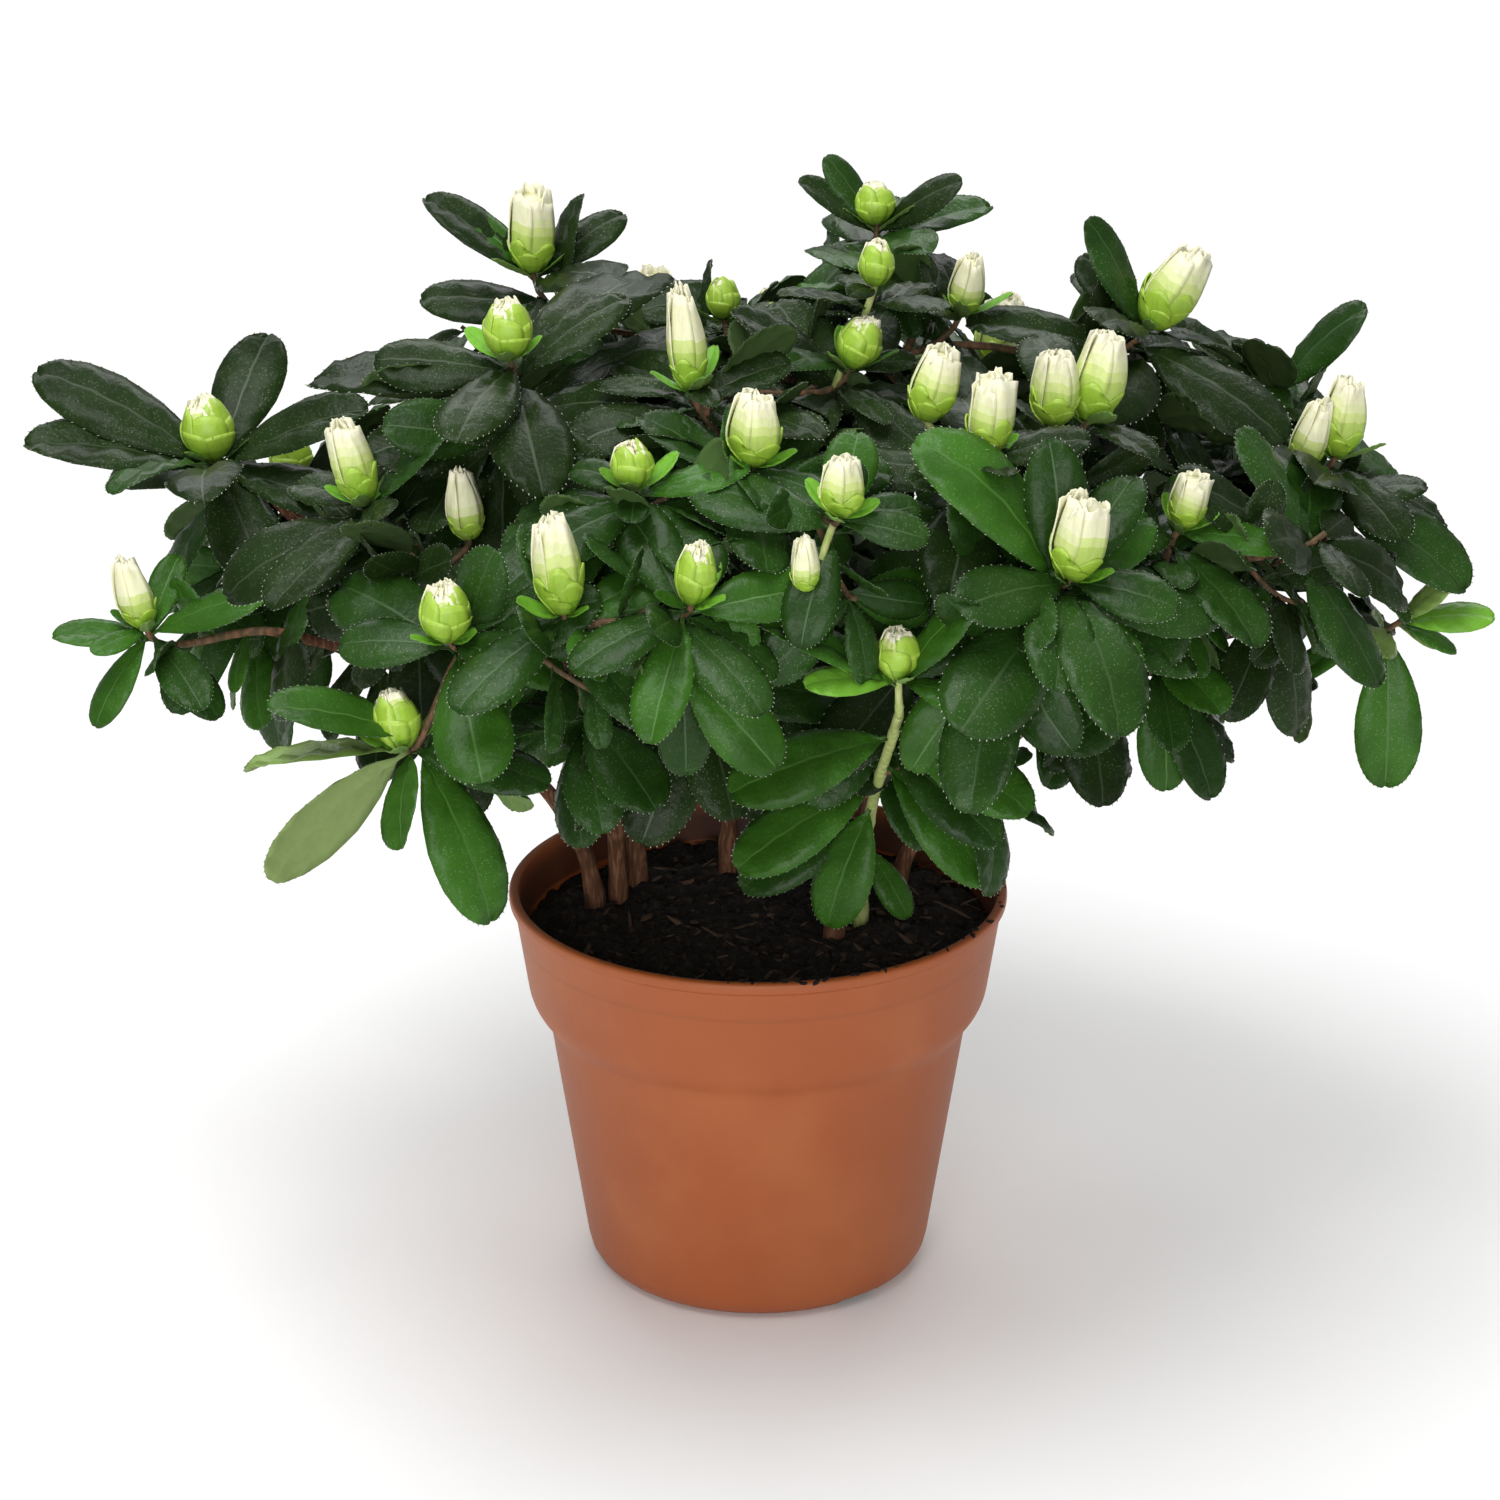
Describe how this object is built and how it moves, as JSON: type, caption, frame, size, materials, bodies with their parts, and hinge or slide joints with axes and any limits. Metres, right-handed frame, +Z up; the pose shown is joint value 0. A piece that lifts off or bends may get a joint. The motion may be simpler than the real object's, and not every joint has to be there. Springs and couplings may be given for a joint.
{
  "type": "potted azalea shrub",
  "caption": "Low, dome-shaped azalea shrub in bud: a clump of woody stems and spreading boughs under a dense leafy crown, in a tapered plastic nursery pot with a stepped rim band.",
  "frame": {"origin": "centre of the pot's flat underside, on the floor", "axes": "+Z up; -Y the front, towards the fullest side of the crown; +X to the right as seen from the front"},
  "size_m": [0.3794, 0.3174, 0.2907],
  "materials": {
    "pot_plastic": "satin terracotta-coloured moulded plastic",
    "potting_soil": "dark, moist, crumbly peat mix with bark fibres",
    "bark": "thin brown bark, finely cracked lengthways",
    "green_shoot": "young green stem with fine hairs",
    "foliage": "small, satin, dark green evergreen leaves with buds among them"
  },
  "bodies": {
    "root": {"pot": "pot_plastic", "soil": "potting_soil", "stem_left_front": "bark", "stem_left_middle": "bark", "stem_left_back": "bark", "stem_back": "bark", "stem_right_front": "bark", "stem_right_middle": "bark", "stem_right_back": "bark", "stem_front_shoot": "green_shoot", "bough_left_arm": "bark", "bough_left_low": "bark", "bough_left_front": "bark", "bough_left_top": "bark", "bough_back_left": "bark", "bough_back": "bark", "bough_front_right": "bark", "bough_right_arm": "bark", "bough_right_low": "bark", "bough_back_right": "bark", "mass_left_arm": "foliage", "mass_left_front": "foliage", "mass_upper_left": "foliage", "mass_top_left": "foliage", "mass_crown_left": "foliage", "mass_front_bud_left": "foliage", "mass_front_bud": "foliage", "mass_crown_middle": "foliage", "mass_top_peak": "foliage", "mass_crown_centre": "foliage", "mass_right_high": "foliage", "mass_front_right_high": "foliage", "mass_top_right": "foliage", "mass_crown_back": "foliage", "mass_right_bud": "foliage", "mass_right_mid": "foliage", "mass_front_right": "foliage", "mass_front_centre": "foliage", "mass_front_shoot": "foliage", "mass_front_left": "foliage", "mass_front_mid": "foliage", "mass_left_low": "foliage", "mass_far_left_low": "foliage", "mass_low_left": "foliage", "mass_far_right": "foliage", "mass_right_outer": "foliage", "mass_low_right": "foliage", "mass_skirt_right": "foliage", "mass_skirt_left": "foliage", "mass_back_right_top": "foliage", "mass_back_left_top": "foliage", "mass_back_top": "foliage", "mass_back_right_high": "foliage", "mass_back_left_mid": "foliage", "mass_back_mid": "foliage", "mass_back_right_mid": "foliage", "mass_back_left_low": "foliage", "mass_back_low": "foliage", "mass_back_right_low": "foliage", "mass_left_back_low": "foliage"}
  },
  "joints": []
}
